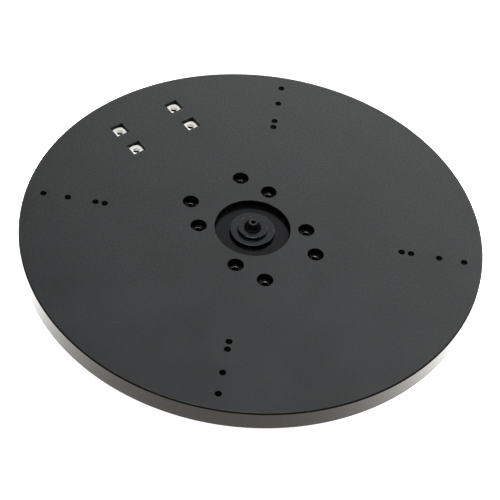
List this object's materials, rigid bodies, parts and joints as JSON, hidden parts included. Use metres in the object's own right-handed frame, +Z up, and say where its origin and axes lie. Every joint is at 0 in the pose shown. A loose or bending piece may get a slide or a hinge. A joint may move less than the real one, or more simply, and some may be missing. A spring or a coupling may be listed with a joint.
{
  "type": "rotary table",
  "caption": "Round black-anodised table plate with tapped clamping holes and a centring hub, turning freely on a low ball-bearing base.",
  "frame": {"origin": "on the spin axis, at the underside of the base", "axes": "+Z up along the spin axis; +X and +Y along the rows of tapped holes in the table plate"},
  "size_m": [0.37, 0.37, 0.0694],
  "materials": {
    "black_anodised": "satin black anodised, fine turned grain",
    "dark_anodised": "dark anodised, turned",
    "black_oxide": "black oxide, oiled",
    "bright_plated": "bright zinc plated",
    "bearing_steel": "ground bearing steel",
    "cage_brass": "machined brass",
    "seal_rubber": "matt nitrile rubber",
    "cast_iron": "machined and painted cast iron"
  },
  "bodies": {
    "base": {"base_plate": "cast_iron", "bearing_housing": "cast_iron", "bearing_outer_ring": "bearing_steel", "bearing_cover": "dark_anodised", "cover_screw_1": "black_oxide", "cover_screw_2": "black_oxide", "cover_screw_3": "black_oxide", "cover_screw_4": "black_oxide", "cover_screw_5": "black_oxide", "cover_screw_6": "black_oxide"},
    "table": {"table_plate": "black_anodised", "spindle": "dark_anodised", "hub_disc": "black_anodised", "hub_collar": "black_anodised", "center_nozzle": "black_oxide", "table_screw_1": "black_oxide", "table_screw_2": "black_oxide", "table_screw_3": "black_oxide", "table_screw_4": "black_oxide", "table_screw_5": "black_oxide", "table_screw_6": "black_oxide", "table_screw_7": "black_oxide", "table_screw_8": "black_oxide", "square_nut_1": "bright_plated", "square_nut_2": "bright_plated", "square_nut_3": "bright_plated", "square_nut_4": "bright_plated", "bearing_inner_ring": "bearing_steel", "clamp_ring": "dark_anodised", "clamp_screw_1": "black_oxide", "clamp_screw_2": "black_oxide", "clamp_screw_3": "black_oxide", "clamp_screw_4": "black_oxide", "dust_seal": "seal_rubber"},
    "ball_set": {"ball_cage": "cage_brass", "bearing_ball_1": "bearing_steel", "bearing_ball_2": "bearing_steel", "bearing_ball_3": "bearing_steel", "bearing_ball_4": "bearing_steel", "bearing_ball_5": "bearing_steel", "bearing_ball_6": "bearing_steel", "bearing_ball_7": "bearing_steel", "bearing_ball_8": "bearing_steel", "bearing_ball_9": "bearing_steel", "bearing_ball_10": "bearing_steel", "bearing_ball_11": "bearing_steel", "bearing_ball_12": "bearing_steel"}
  },
  "joints": [
    {"name": "table_spin", "type": "hinge", "parent": "base", "child": "table", "pos_m": [0, 0, 0], "axis": [0, 0, 1], "continuous": true},
    {"name": "cage_spin", "type": "hinge", "parent": "base", "child": "ball_set", "pos_m": [0, 0, 0], "axis": [0, 0, 1], "continuous": true}
  ],
  "couplings": [
    {"joint": "cage_spin", "follows": "table_spin", "ratio": 0.4474}
  ]
}
